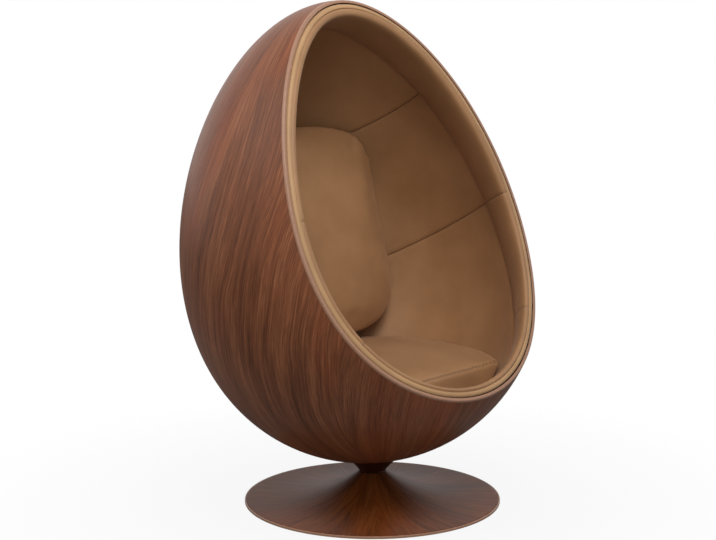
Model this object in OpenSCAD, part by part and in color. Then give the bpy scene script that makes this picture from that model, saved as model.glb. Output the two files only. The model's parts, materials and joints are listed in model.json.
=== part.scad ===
// Pod lounge chair: a veneered egg shell with a leather lined interior on a swivelling trumpet base.
// Millimetres, +Z up, the sitter faces -Y, origin on the floor at the swivel axis.

/* [Shell] */
// Height of the top of the shell above the floor
overall_h = 1320; // [1300:1:1340]
// Lean of the shell's long axis behind the vertical, degrees
lean = 8.7; // [7:0.1:10.5]
// Height of the neck between the swivel and the shell
neck_h = 28.4; // [25:0.1:34]
// Radius of the shell halfway along its axis
shell_r = 471.8; // [455:0.1:485]
// Extra fullness of the lower half, as a share of the radius
egg_share = 0.1325; // [0.11:0.0025:0.15]
// Distance of the lower pole in front of the swivel axis
pole_fwd = 43.7; // [35:0.1:52]
// Thickness of the outer veneer skin
veneer_t = 2; // [1:0.5:3]
// Thickness of the moulded core
core_t = 6; // [4:0.5:8]

/* [Opening] */
// Lean of the opening's plane behind the vertical, degrees
opening_lean = 21.8; // [20:0.1:24]
// Distance of the opening's plane from the origin, as a share of the shell's length
opening_off_share = 0.347; // [0.334:0.0005:0.358]
// Bow of the opening seen from the side, as a share of the shell's length
opening_bow_share = -0.0039; // [-0.01:0.0001:0.003]
// Sweep of the opening's S curve seen from the side, as a share of the shell's length
opening_sweep_share = -0.0249; // [-0.033:0.0001:-0.012]
// Height of the solid wood lipping on the shell's edge
lipping_h = 6; // [4:0.5:10]
// Width of the groove between the lipping and the leather band
groove_w = 3; // [2:0.25:5]
// Width of the leather band round the opening
band_w = 11; // [9:0.5:13]
// Thickness of the leather band over its frame
band_t = 6; // [4:0.5:8]
// How far the leather band stands in front of the lipping
band_crown = 2; // [0.5:0.5:4]

/* [Padding] */
// Thickness of the liner foam
liner_foam_t = 22; // [14:1:28]
// Thickness of the leather
leather_t = 3; // [2:0.25:4]
// How far the rim roll stands into the interior
roll_t = 32; // [24:1:40]
// Depth of the rim roll at the bottom of the opening
roll_low_d = 78; // [65:1:90]
// Depth of the rim roll at the top of the opening
roll_top_d = 150; // [120:1:165]
// Height of the roll's crown in front of the shell's edge
roll_crown = 3; // [1:0.5:6]
// Height of the lower liner seam over the shell's bottom, as a share of the shell's length
seam_low_share = 0.518; // [0.485:0.001:0.55]
// Height of the upper liner seam over the shell's bottom, as a share of the shell's length
seam_high_share = 0.8355; // [0.81:0.0005:0.855]
// Slope of both liner seams, degrees
seam_slope = 29; // [22:1:34]

/* [Seat] */
// Height of the seat deck's underside
deck_z = 233; // [220:1:242]
// Thickness of the seat deck board
deck_t = 12; // [9:1:16]
// Height of the seat cushion's top seam
seat_z = 371; // [350:1:385]
// Crown of the seat cushion over its seam
seat_crown = 15; // [8:1:22]
// Distance of the seat cushion's front edge in front of the swivel axis
seat_front = 223; // [205:1:240]
// Distance of the seat cushion's rear edge behind the swivel axis
seat_rear = 330; // [300:1:345]
// Half width that the seat cushion's front corners round into
seat_half_w = 366; // [340:1:375]

/* [Back cushion] */
// Distance of the back cushion's face behind the swivel axis, as a share of the shell's radius
back_y_share = 0.394; // [0.36:0.001:0.43]
// Lean of the back cushion behind the vertical, degrees
back_lean = 14.1; // [12:0.1:16]
// Height of the back cushion along its face, as a share of the shell's length
back_h_share = 0.5045; // [0.47:0.0005:0.527]
// Half width of the back cushion at its middle, as a share of the shell's radius
back_w_share = 0.708; // [0.66:0.001:0.73]
// Narrowing of the back cushion towards its top, as a share
back_taper_share = 0.04; // [0:0.01:0.1]
// How far the sides of the face wrap forward
back_wrap = 30; // [10:1:40]
// Crown of the face
back_crown = 12; // [5:1:20]
// Depth of the perimeter seam behind the face
back_edge = 40; // [30:1:48]
// Greatest thickness of the back cushion
back_t = 165; // [130:1:180]

/* [Base] */
// Radius of the base disc
base_r = 340; // [310:1:370]
// Thickness of the steel base plate
plate_t = 5; // [4:0.5:8]
// Thickness of the felt pad under the plate
floor_pad_t = 2; // [1.5:0.5:4]
// Height of the base's lipping at its rim
base_edge_h = 6.5; // [5.5:0.5:9]
// Height of the waist where the pod turns on the base
waist_z = 82; // [74:1:88]
// Radius of the waist
waist_r = 35.5; // [33:0.5:42]
// Radius of the neck where it meets the shell
neck_r = 61; // [56:0.5:68]
// Width of the shadow gap at the waist
waist_gap = 2; // [1.5:0.25:3]
// Flare exponent of the trumpet
flare = 3; // [2.5:0.1:3.5]

/* [Swivel] */
// Radius of the swivel shaft
shaft_r = 14; // [12:0.5:15]
// Running clearance of the shaft in its bushes
shaft_clear = 0.05; // [0.03:0.01:0.08]
// Wall of the swivel bushes
bush_t = 2; // [1.5:0.5:3]
// Wall of the pivot tube
tube_t = 4; // [3:0.5:5]
// Radius of the pivot tube's flange
flange_r = 72; // [64:1:90]
// Thickness of the pivot tube's flange
flange_t = 6; // [5:0.5:8]
// Pitch radius of the hub's bolts
hub_bolt_pr = 31; // [29:0.5:33]
// Radius of the hub's bolts
hub_bolt_r = 3; // [2.5:0.5:3.5]
// Radius of the hub plate inside the shell
hub_r = 72; // [60:1:78]
// Thickness of the hub plate
hub_t = 6; // [5:0.5:8]

/* [Hidden] */

walnut = [0.43, 0.29, 0.22];
walnut_edge = [0.62, 0.46, 0.38];
tan_leather = [0.57, 0.43, 0.31];
foam_tone = [0.86, 0.83, 0.70];
plywood = [0.78, 0.66, 0.48];
steel = [0.70, 0.71, 0.72];
bronze = [0.70, 0.55, 0.32];
nylon = [0.90, 0.90, 0.86];
felt = [0.12, 0.12, 0.12];

overrun = 60;
face_gap = 0.3;
egg_step = 5;
shell_fn = 120;
round_fn = 72;
small_fn = 32;
hex_fn = 6;
halvings = 26;
full_turn = 360;

// Shell: an ovoid turned about its leaning axis, as long as the height over the neck lets it be
neck_z = waist_z + waist_gap;
shell_low_z = neck_z + neck_h;
function lean_top(len) = max([for (a = [0 : 1 : 180])
    len / 2 * (1 - cos(a)) * cos(lean) + egg_r(a) * sin(lean)]);
function lean_low(len) = min([for (a = [0 : 1 : 90])
    len / 2 * (1 - cos(a)) * cos(lean) - egg_r(a) * sin(lean)]);
function seek_len(a, b, k) = let (m = (a + b) / 2)
    k == 0 ? m
        : lean_top(m) - lean_low(m) > overall_h - shell_low_z ? seek_len(a, m, k - 1)
        : seek_len(m, b, k - 1);
shell_len = seek_len(0, 2 * overall_h, halvings);
shell_z = overall_h - lean_top(shell_len);
function egg_u(a) = shell_len / 2 * (1 - cos(a));
function egg_r(a) = shell_r * sin(a) * (1 + egg_share * cos(a));
function egg_du(a) = shell_len / 2 * sin(a);
function egg_dr(a) = shell_r * (cos(a) + egg_share * cos(2 * a));
// point of the half profile at angle a, d inside the outer skin along the normal
function egg_pt(a, d) = let (m = norm([egg_du(a), egg_dr(a)]))
    [max(0, egg_r(a) - d * egg_du(a) / m), egg_u(a) + d * egg_dr(a) / m];

module egg(d) {
    translate([0, -pole_fwd, shell_z])
        rotate([-lean, 0, 0])
            rotate_extrude($fn = shell_fn)
                polygon([for (a = [0 : egg_step : 180]) egg_pt(a, d)]);
}

// offsets of the layers from the outer skin
core_o = veneer_t;
wall_o = veneer_t + core_t;
band_o = wall_o + groove_w;
roll_o = band_o + band_w;
leather_o = wall_o + liner_foam_t;
inside_o = leather_o + leather_t;

// Opening: an S curve in the side view, swept straight across
opening_mid_share = 0.6595;
opening_unit_share = 0.412;
opening_low_share = -0.165;
opening_high_share = 1.155;
opening_mid = shell_len * opening_mid_share;
opening_unit = shell_len * opening_unit_share;
opening_low = shell_len * opening_low_share;
opening_high = shell_len * opening_high_share;
opening_steps = 32;
// distance along the opening's normal at s up its plane
function cut_at(s) = let (v = (s - opening_mid) / opening_unit)
    shell_len * (opening_off_share + opening_bow_share * v * v + opening_sweep_share * v * v * v);
function to_world(x, s, n) = [x, s * sin(opening_lean) - n * cos(opening_lean),
    s * cos(opening_lean) + n * sin(opening_lean)];

// where the rim crosses the middle plane, low and high
function seek_mid(a, b, k) = let (m = (a + b) / 2)
    k == 0 ? m : egg_gap(to_world(0, m, cut_at(m))) > 0 ? seek_mid(a, m, k - 1) : seek_mid(m, b, k - 1);
rim_top_s = seek_mid(opening_mid, opening_high, halvings);
rim_low_s = seek_mid(opening_mid, opening_low, halvings);
rim_mid_s = (rim_top_s + rim_low_s) / 2;
// depth of the roll below the edge at s
function roll_depth(s) = roll_low_d + (roll_top_d - roll_low_d) * (s - rim_low_s) / (rim_top_s - rim_low_s);

// all that lies in front of the opening, moved in by depth, or by the roll's depth and more
module ahead(depth, rolls = 0) {
    rotate([90 - opening_lean, 0, 0])
        rotate([90, 0, 90])
            linear_extrude(height = shell_len, center = true)
                polygon([
                    for (i = [0 : opening_steps])
                        let (s = opening_low + (opening_high - opening_low) * i / opening_steps)
                        [s, cut_at(s) - depth - rolls * roll_depth(s)],
                    [opening_high, shell_len],
                    [opening_low, shell_len]
                ]);
}

// The shell's surface as seen from the opening
// [distance from the long axis, place along it]
function on_axis(p) = [norm([p.x, (p.y + pole_fwd) * cos(lean) - (p.z - shell_z) * sin(lean)]),
    (p.y + pole_fwd) * sin(lean) + (p.z - shell_z) * cos(lean)];
function egg_gap(p) = let (w = on_axis(p), c = 1 - 2 * w[1] / shell_len)
    abs(c) >= 1 ? 1 : w[0] - shell_r * sqrt(1 - c * c) * (1 + egg_share * c);
// how far a point lies inside the outer skin, near it
function inside_by(p) = let (w = on_axis(p), c = 1 - 2 * w[1] / shell_len)
    abs(c) >= 1 ? -1 : let (a = acos(c), g = egg_dr(a) / egg_du(a)) (egg_r(a) - w[0]) / norm([1, g]);
// outward normal of the skin at p
function skin_normal(p) = let (w = on_axis(p), a = acos(1 - 2 * w[1] / shell_len),
    m = norm([egg_du(a), egg_dr(a)]), nr = egg_du(a) / m, nu = -egg_dr(a) / m,
    b = (p.y + pole_fwd) * cos(lean) - (p.z - shell_z) * sin(lean), r = norm([p.x, b]),
    e = nr * b / r)
    [nr * p.x / r, e * cos(lean) + nu * sin(lean), nu * cos(lean) - e * sin(lean)];
function rim_ray(t, c, q) = let (s = rim_mid_s + q * sin(t)) to_world(q * cos(t), s, cut_at(s) - c);
function seek_rim(t, c, a, b, k) = let (m = (a + b) / 2)
    k == 0 ? m : egg_gap(rim_ray(t, c, m)) > 0 ? seek_rim(t, c, a, m, k - 1) : seek_rim(t, c, m, b, k - 1);
function skin_at(t, c) = rim_ray(t, c, seek_rim(t, c, 0, shell_len, halvings));
function inset(p, o) = p - o * skin_normal(p);
// how far a point lies up the opening's plane, and how far behind its curved face
function rise(p) = p.y * sin(opening_lean) + p.z * cos(opening_lean);
function lag(p) = cut_at(rise(p)) + p.y * cos(opening_lean) - p.z * sin(opening_lean);
// point o inside the skin, c behind the edge, at angle t round the opening, closed in on in two goes
function rim_pt(t, c, o) = let (c1 = 2 * c - lag(inset(skin_at(t, c), o)),
    c2 = c1 + c - lag(inset(skin_at(t, c1), o)))
    inset(skin_at(t, c2), o);

// Padded roll round the opening
roll_sides = 12;
roll_pitch = 5;
roll_full_share = 0.75;
seam_high_a = -3;
seam_low_a = -46;
seam_low_z = shell_low_z + shell_len * seam_low_share;
seam_high_z = shell_low_z + shell_len * seam_high_share;
// depth of the roll at angle t, taken where its rear edge lies
function roll_rear(t) = roll_depth(rise(rim_pt(t, roll_depth(rise(skin_at(t, 0))), leather_o))) - face_gap;
function roll_ring(t) = let (d = roll_rear(t), mid = (d - roll_crown) / 2, half = (d + roll_crown) / 2)
    [for (i = [0 : roll_sides]) let (a = 180 * i / roll_sides)
        rim_pt(t, mid - half * cos(a), roll_o + face_gap + roll_t * pow(max(0, sin(a)), roll_full_share))];

module roll(t0, t1) {
    steps = ceil((t1 - t0) / roll_pitch);
    n = roll_sides + 1;
    pts = [for (j = [0 : steps]) each roll_ring(t0 + (t1 - t0) * j / steps)];
    sides = [for (j = [0 : steps - 1], i = [0 : n - 1])
        let (a = j * n + i, b = j * n + (i + 1) % n, c = a + n, d = b + n)
        each [[a, b, d], [a, d, c]]];
    first = [for (i = [1 : n - 2]) [0, i + 1, i]];
    last = [for (i = [1 : n - 2]) [steps * n, steps * n + i, steps * n + i + 1]];
    polyhedron(points = pts, faces = concat(sides, first, last), convexity = 6);
}

// Cushions: rings of points joined and closed at both ends
module ringed(rings, head, tail) {
    n = len(rings[0]);
    k = len(rings);
    pts = concat([head], [for (r = rings) each r], [tail]);
    cap0 = [for (i = [0 : n - 1]) [0, 1 + (i + 1) % n, 1 + i]];
    walls = [for (j = [0 : k - 2], i = [0 : n - 1])
        let (a = 1 + j * n + i, b = 1 + j * n + (i + 1) % n, c = a + n, d = b + n)
        each [[a, b, d], [a, d, c]]];
    cap1 = [for (i = [0 : n - 1]) [k * n + 1, (k - 1) * n + 1 + i, (k - 1) * n + 1 + (i + 1) % n]];
    polyhedron(points = pts, faces = concat(cap0, walls, cap1), convexity = 6);
}
function power(v, e) = sign(v) * pow(abs(v), e);
// reach from p along d to the surface o inside the skin
function reach(p, d, o, a, b, k) = let (m = (a + b) / 2)
    k == 0 ? a : inside_by(p + m * d) > o ? reach(p, d, o, m, b, k - 1) : reach(p, d, o, a, m, k - 1);

cushion_sides = 48;
cushion_gap = 5;
seat_corner = 4.5;
seat_draw = 6;
seat_low_round = 14;
seat_bottom_z = deck_z + deck_t + leather_t;
seat_mid_y = (seat_rear - seat_front) / 2;
seat_half_l = (seat_rear + seat_front) / 2;
seat_low_share = 0.9;
function seat_free(t) = let (c = abs(cos(t)) / seat_half_w, s = abs(sin(t)) / seat_half_l)
    pow(pow(c, seat_corner) + pow(s, seat_corner), -1 / seat_corner);
// plan radius of the seat cushion at angle t and height z, held off the liner
function seat_plan(t, z) = min(seat_free(t),
    reach([0, seat_mid_y, z], [cos(t), sin(t), 0], inside_o + cushion_gap, 0, shell_r, halvings));
function seat_ring(z, share, draw, lift) = [for (i = [0 : cushion_sides - 1])
    let (t = full_turn * i / cushion_sides, r = seat_plan(t, z - lift) * share - draw)
    [r * cos(t), seat_mid_y + r * sin(t), z]];
function seat_top(share) = seat_z + seat_crown * (1 - pow(share, 3));
seat_side_h = seat_z - seat_bottom_z;
seat_top_shares = [0.97, 0.88, 0.7, 0.4];
seat_side_shares = [0.3, 0.6, 0.85];

// Back cushion, worked in its own leaning frame
back_y = shell_r * back_y_share;
back_h = shell_len * back_h_share;
back_half_w = shell_r * back_w_share;
back_corner = 5;
back_round = 6;
back_seam_share = 0.45;
back_rest_share = (back_y + back_edge - seat_mid_y) / seat_half_l;
back_lift = 2.5;
back_foot_z = seat_top(back_rest_share) + back_lift;
back_up = [0, sin(back_lean), cos(back_lean)];
back_in = [0, cos(back_lean), -sin(back_lean)];
back_foot = [0, back_y, back_foot_z + back_edge * sin(back_lean)];
back_shares = [0.35, 0.62, 0.82, 0.93, 0.985];
function back_xh(t, share, skin) = let (y = power(sin(t), 2 / back_corner))
    [(back_half_w - skin) * power(cos(t), 2 / back_corner) * (1 - back_taper_share * y) * share,
        back_h / 2 + (back_h / 2 - skin) * y * share];
function back_face(x) = -back_wrap * pow(x / back_half_w, 2);
function back_at(x, h, d) = back_foot + h * back_up + (d + back_face(x)) * back_in + [x, 0, 0];
function back_room(x, h) = min(back_t,
    reach(back_at(x, h, 0), back_in, inside_o + cushion_gap, 0, shell_r, halvings));
function back_seam(x, h) = min(back_edge, back_room(x, h) * back_seam_share);
function back_swell(share) = sqrt(1 - pow(share, back_round));
function back_front_d(x, h, share, skin) = back_seam(x, h) * (1 - back_swell(share))
    + skin * back_swell(share) - back_crown * (1 - share * share);
function back_rear_d(x, h, share, skin) = back_seam(x, h)
    + (back_room(x, h) - skin - back_seam(x, h)) * back_swell(share);
// a ring round the cushion's face, at the seam's depth or over the front or rear
function back_ring(share, skin, side) = [for (i = [0 : cushion_sides - 1])
    let (q = back_xh(full_turn * i / cushion_sides, share, skin), x = q[0], h = q[1],
        d = side == 0 ? back_seam(x, h)
            : side > 0 ? back_front_d(x, h, share, skin)
            : back_rear_d(x, h, share, skin))
    back_at(x, h, d)];
function back_front_ring(share, skin) = back_ring(share, skin, 1);
function back_rear_ring(share, skin) = back_ring(share, skin, -1);

// Base and swivel levels
plate_z = floor_pad_t;
trumpet_z = plate_z + plate_t;
base_edge_z = plate_z + base_edge_h;
band_edge_t = 3;
trumpet_steps = 24;
function flare_z(r) = base_edge_z + (waist_z - base_edge_z) * pow((base_r - r) / (base_r - waist_r), flare);
neck_steps = 12;
neck_bow = 1.15;
neck_over = 14;
function neck_wall(z) = waist_r + (neck_r - waist_r) * pow((z - neck_z) / neck_h, neck_bow);
bush_r = shaft_r + shaft_clear + bush_t;
bush_len = 22;
tube_r = bush_r + tube_t;
washer_t = 2;
washer_r = tube_r + 3;
washer_gap = 0.5;
tube_top = waist_z - washer_t;
collar_z = waist_z + face_gap;
collar_t = 6;
edge_t = 3;
screw_r = 2.5;
screw_head_r = 5;
screw_len = 18;
screw_count = 6;
screw_pr = 105;
retain_t = 1.2;
retain_r = 20;
retain_nut_h = 2.8;
retain_nut_r = 20;
plate_hole_r = 26;
pad_inset = 5;
pad_h = 16;
pad_z = shell_low_z + wall_o + pad_h;
insert_r = 5;
insert_h = 14;
insert_rise = 10;
insert_z = neck_z + insert_rise;
bolt_washer_t = 1.6;
bolt_washer_r = 6.5;
bolt_head_h = 4;
bolt_head_r = 5.5;
bolt_count = 4;
hub_nut_h = 10;
hub_nut_r = 19;
shaft_tip = 2;
hub_top = pad_z + hub_t;
shaft_top = hub_top + hub_nut_h + shaft_tip;
shaft_low = trumpet_z - face_gap - retain_t - retain_nut_h;
well_gap = 4;
well_r = hub_r + well_gap;
well_top = shaft_top + well_gap;
roll_slack = 4;

module ring(z0, z1, r_out, r_in, fn = round_fn) {
    translate([0, 0, z0])
        difference() {
            cylinder(h = z1 - z0, r = r_out, $fn = fn);
            translate([0, 0, -overrun])
                cylinder(h = z1 - z0 + 2 * overrun, r = r_in, $fn = fn);
        }
}

module around(count, r, turn = 0) {
    for (i = [0 : count - 1])
        rotate([0, 0, full_turn * i / count + turn])
            translate([r, 0, 0])
                children();
}

// all that lies over a level surface at z
module over(z) {
    translate([-shell_len, -shell_len, z])
        cube([2 * shell_len, 2 * shell_len, 2 * shell_len]);
}

// all that lies over a liner seam that crosses the swivel axis at z
module over_seam(z) {
    translate([0, 0, z])
        rotate([-seam_slope, 0, 0])
            over(0);
}

module right_half() {
    translate([0, -shell_len, 0])
        cube([shell_len, 2 * shell_len, 2 * shell_len]);
}

module left_half() {
    mirror([1, 0, 0])
        right_half();
}

module layer(o, t) {
    difference() {
        egg(o);
        egg(o + t);
    }
}

module base_floor_pad() {
    color(felt)
        cylinder(h = floor_pad_t, r = base_r - edge_t - pad_inset, $fn = round_fn);
}

module screw_places() {
    translate([0, 0, plate_z])
        around(screw_count, screw_pr, 180 / screw_count)
            children();
}

module screw() {
    rotate_extrude($fn = small_fn)
        polygon([
            [0, 0],
            [screw_head_r, 0],
            [screw_r, screw_head_r - screw_r],
            [screw_r, screw_len],
            [0, screw_len]
        ]);
}

module base_plate() {
    color(steel)
        difference() {
            ring(plate_z, trumpet_z, base_r - edge_t, plate_hole_r);
            screw_places()
                screw();
        }
}

module base_edge_band() {
    color(walnut_edge)
        rotate_extrude($fn = round_fn)
            polygon([
                [base_r - edge_t, plate_z],
                [base_r - edge_t / 3, plate_z],
                [base_r, plate_z + edge_t / 2],
                [base_r, base_edge_z - edge_t / 2],
                [base_r - edge_t / 3, base_edge_z],
                [base_r - edge_t, base_edge_z]
            ]);
}

module base_trumpet() {
    rim_r = base_r - edge_t;
    color(walnut)
        difference() {
            rotate_extrude($fn = round_fn)
                polygon([
                    [0, trumpet_z],
                    [rim_r, trumpet_z],
                    for (i = [0 : trumpet_steps])
                        let (r = rim_r + (waist_r - rim_r) * i / trumpet_steps)
                        [r, flare_z(r)],
                    [0, waist_z]
                ]);
            translate([0, 0, trumpet_z - overrun])
                cylinder(h = overrun + flange_t, r = flange_r, $fn = round_fn);
            cylinder(h = waist_z + overrun, r = tube_r, $fn = round_fn);
            translate([0, 0, tube_top])
                cylinder(h = overrun, r = washer_r, $fn = round_fn);
            screw_places()
                screw();
        }
}

module base_screws() {
    color(steel)
        screw_places()
            screw();
}

module pivot_tube() {
    color(steel)
        difference() {
            union() {
                translate([0, 0, trumpet_z])
                    cylinder(h = flange_t, r = flange_r, $fn = round_fn);
                translate([0, 0, trumpet_z])
                    cylinder(h = tube_top - trumpet_z, r = tube_r, $fn = round_fn);
            }
            cylinder(h = waist_z + overrun, r = bush_r, $fn = round_fn);
        }
}

module bush(z) {
    ring(z, z + bush_len, bush_r, shaft_r + shaft_clear);
}

module bush_lower() {
    color(bronze)
        bush(trumpet_z);
}

module bush_upper() {
    color(bronze)
        bush(tube_top - bush_len);
}

module thrust_washer() {
    color(nylon)
        ring(tube_top, waist_z, washer_r, shaft_r + washer_gap);
}

module swivel_shaft() {
    color(steel)
        translate([0, 0, shaft_low])
            cylinder(h = shaft_top - shaft_low, r = shaft_r, $fn = round_fn);
}

module retaining_washer() {
    color(steel)
        ring(trumpet_z - face_gap - retain_t, trumpet_z - face_gap, retain_r, shaft_r);
}

module retaining_nut() {
    color(steel)
        difference() {
            translate([0, 0, shaft_low])
                cylinder(h = retain_nut_h, r = retain_nut_r, $fn = hex_fn);
            cylinder(h = waist_z, r = shaft_r, $fn = round_fn);
        }
}

module thrust_collar() {
    color(steel)
        ring(collar_z, collar_z + collar_t, washer_r, shaft_r);
}

module bolt_places(z) {
    translate([0, 0, z])
        around(bolt_count, hub_bolt_pr, 180 / bolt_count)
            children();
}

module shaft_and_bolt_holes() {
    cylinder(h = well_top, r = shaft_r, $fn = round_fn);
    bolt_places(insert_z)
        cylinder(h = well_top, r = hub_bolt_r, $fn = small_fn);
}

module neck_cone() {
    top = shell_low_z + neck_over;
    color(walnut)
        difference() {
            rotate_extrude($fn = round_fn)
                polygon([
                    [0, neck_z],
                    for (i = [0 : neck_steps])
                        let (z = neck_z + (top - neck_z) * i / neck_steps)
                        [neck_wall(z), z],
                    [0, top]
                ]);
            egg(0);
            cylinder(h = collar_z + collar_t, r = washer_r, $fn = round_fn);
            shaft_and_bolt_holes();
            bolt_places(insert_z)
                cylinder(h = insert_h, r = insert_r, $fn = small_fn);
        }
}

module neck_inserts() {
    color(bronze)
        bolt_places(insert_z)
            difference() {
                cylinder(h = insert_h, r = insert_r, $fn = small_fn);
                translate([0, 0, -overrun])
                    cylinder(h = well_top, r = hub_bolt_r, $fn = small_fn);
            }
}

module hub_pad() {
    color(plywood)
        difference() {
            intersection() {
                egg(wall_o);
                cylinder(h = pad_z, r = hub_r, $fn = round_fn);
            }
            shaft_and_bolt_holes();
        }
}

module hub_plate() {
    color(steel)
        difference() {
            ring(pad_z, hub_top, hub_r, shaft_r);
            shaft_and_bolt_holes();
        }
}

module hub_bolts() {
    color(steel)
        bolt_places(insert_z) {
            cylinder(h = hub_top + bolt_washer_t - insert_z, r = hub_bolt_r, $fn = small_fn);
            translate([0, 0, hub_top + bolt_washer_t - insert_z])
                cylinder(h = bolt_head_h, r = bolt_head_r, $fn = hex_fn);
        }
}

module hub_washers() {
    color(steel)
        bolt_places(hub_top)
            difference() {
                cylinder(h = bolt_washer_t, r = bolt_washer_r, $fn = small_fn);
                translate([0, 0, -overrun])
                    cylinder(h = 2 * overrun, r = hub_bolt_r, $fn = small_fn);
            }
}

module hub_nut() {
    color(steel)
        difference() {
            translate([0, 0, hub_top])
                cylinder(h = hub_nut_h, r = hub_nut_r, $fn = hex_fn);
            cylinder(h = well_top, r = shaft_r, $fn = round_fn);
        }
}

module shell_veneer() {
    color(walnut)
        difference() {
            layer(0, veneer_t);
            ahead(lipping_h);
            shaft_and_bolt_holes();
        }
}

module shell_core() {
    color(plywood)
        difference() {
            layer(core_o, core_t);
            ahead(lipping_h);
            shaft_and_bolt_holes();
        }
}

module rim_lipping() {
    color(walnut_edge)
        difference() {
            intersection() {
                layer(0, wall_o);
                ahead(lipping_h);
            }
            ahead(0);
        }
}

module rim_frame() {
    color(plywood)
        difference() {
            intersection() {
                layer(wall_o, roll_o - wall_o);
                ahead(roll_slack, 1);
            }
            ahead(band_t);
        }
}

module rim_band() {
    color(tan_leather)
        difference() {
            intersection() {
                layer(band_o, band_w);
                ahead(band_t);
            }
            ahead(-band_crown);
        }
}

module rim_roll_hood() {
    color(tan_leather)
        roll(seam_high_a, 180 - seam_high_a);
}

module rim_roll_right() {
    color(tan_leather)
        roll(seam_low_a, seam_high_a);
}

module rim_roll_left() {
    color(tan_leather)
        roll(180 - seam_high_a, 180 - seam_low_a);
}

module rim_roll_front() {
    color(tan_leather)
        roll(-180 - seam_low_a, seam_low_a);
}

module lining(o, t) {
    difference() {
        intersection() {
            layer(o, t);
            over(deck_z);
        }
        ahead(roll_slack, 1);
    }
}

// a layer of the lining over the upper seam, between the seams and under the lower seam
module hood_of(o, t) {
    intersection() {
        lining(o, t);
        over_seam(seam_high_z);
    }
}

module upper_of(o, t) {
    difference() {
        intersection() {
            lining(o, t);
            over_seam(seam_low_z);
        }
        over_seam(seam_high_z);
    }
}

module lower_of(o, t) {
    difference() {
        lining(o, t);
        over_seam(seam_low_z);
    }
}

module foam_hood() {
    color(foam_tone)
        hood_of(wall_o, liner_foam_t);
}

module foam_upper_right() {
    color(foam_tone)
        intersection() {
            upper_of(wall_o, liner_foam_t);
            right_half();
        }
}

module foam_upper_left() {
    color(foam_tone)
        intersection() {
            upper_of(wall_o, liner_foam_t);
            left_half();
        }
}

module foam_lower_right() {
    color(foam_tone)
        intersection() {
            lower_of(wall_o, liner_foam_t);
            right_half();
        }
}

module foam_lower_left() {
    color(foam_tone)
        intersection() {
            lower_of(wall_o, liner_foam_t);
            left_half();
        }
}

module liner_hood() {
    color(tan_leather)
        hood_of(leather_o, leather_t);
}

module liner_upper_right() {
    color(tan_leather)
        intersection() {
            upper_of(leather_o, leather_t);
            right_half();
        }
}

module liner_upper_left() {
    color(tan_leather)
        intersection() {
            upper_of(leather_o, leather_t);
            left_half();
        }
}

module liner_lower_right() {
    color(tan_leather)
        intersection() {
            lower_of(leather_o, leather_t);
            right_half();
        }
}

module liner_lower_left() {
    color(tan_leather)
        intersection() {
            lower_of(leather_o, leather_t);
            left_half();
        }
}

module seat_riser() {
    color(foam_tone)
        difference() {
            egg(wall_o);
            over(deck_z);
            ahead(roll_slack, 1);
            cylinder(h = well_top, r = well_r, $fn = round_fn);
        }
}

// a level board that fits inside the liner
module board(z, t) {
    difference() {
        intersection() {
            egg(inside_o + face_gap);
            over(z);
        }
        over(z + t);
    }
}

module seat_deck() {
    color(plywood)
        board(deck_z, deck_t);
}

module liner_floor() {
    color(tan_leather)
        board(deck_z + deck_t, leather_t);
}

// the seat cushion's form, or what lies a skin's thickness inside it
module seat_form(skin) {
    low = seat_bottom_z;
    ringed(
        [
            for (i = [len(seat_top_shares) - 1 : -1 : 0])
                let (q = seat_top_shares[i])
                seat_ring(seat_top(q) - skin, q, skin, seat_top(q) - seat_z - skin),
            seat_ring(seat_z - skin, 1, skin, -skin),
            for (i = [len(seat_side_shares) - 1 : -1 : 0])
                let (q = seat_side_shares[i])
                seat_ring(low + seat_side_h * q, 1, skin + seat_draw * sin(180 * q), 0),
            seat_ring(low + seat_low_round, 1, skin, 0),
            seat_ring(low + skin, seat_low_share, skin, skin)
        ],
        [0, seat_mid_y, seat_top(0) - skin],
        [0, seat_mid_y, low + skin]
    );
}

module seat_cushion() {
    color(tan_leather)
        difference() {
            seat_form(0);
            seat_form(leather_t);
        }
}

module seat_core() {
    color(foam_tone)
        seat_form(leather_t);
}

// the back cushion's form, or what lies a skin's thickness inside it
module back_form(skin) {
    rear = [for (i = [len(back_shares) - 1 : -1 : 0]) back_shares[i]];
    ringed(
        [
            for (q = back_shares)
                back_front_ring(q, skin),
            back_ring(1, skin, 0),
            for (q = rear)
                back_rear_ring(q, skin)
        ],
        back_at(0, back_h / 2, back_front_d(0, back_h / 2, 0, skin)),
        back_at(0, back_h / 2, back_rear_d(0, back_h / 2, 0, skin))
    );
}

module back_cushion() {
    color(tan_leather)
        difference() {
            back_form(0);
            back_form(leather_t);
        }
}

module back_core() {
    color(foam_tone)
        back_form(leather_t);
}

base_floor_pad();
base_plate();
base_edge_band();
base_trumpet();
base_screws();
pivot_tube();
bush_lower();
bush_upper();
thrust_washer();
swivel_shaft();
retaining_washer();
retaining_nut();
thrust_collar();
neck_cone();
neck_inserts();
hub_pad();
hub_plate();
hub_bolts();
hub_washers();
hub_nut();
shell_veneer();
shell_core();
rim_lipping();
rim_frame();
rim_band();
rim_roll_hood();
rim_roll_right();
rim_roll_left();
rim_roll_front();
foam_hood();
foam_upper_right();
foam_upper_left();
foam_lower_right();
foam_lower_left();
liner_hood();
liner_upper_right();
liner_upper_left();
liner_lower_right();
liner_lower_left();
seat_riser();
seat_deck();
liner_floor();
seat_cushion();
seat_core();
back_cushion();
back_core();
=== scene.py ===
"""Pod lounge chair: its looks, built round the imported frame.

Metres, +Z up, the sitter faces -Y. The shell is an egg turned about a leaning axis. Its rim, the
padding on the rim and the lining follow that egg and the S curve that cuts its opening, so each
point of them is given by an angle round the opening, a depth behind the edge and an offset
inside the outer skin. The main sizes are those of the part's source; the roll and the cushions
take the softer forms of the photographed leather.
"""
import json
import math

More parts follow.
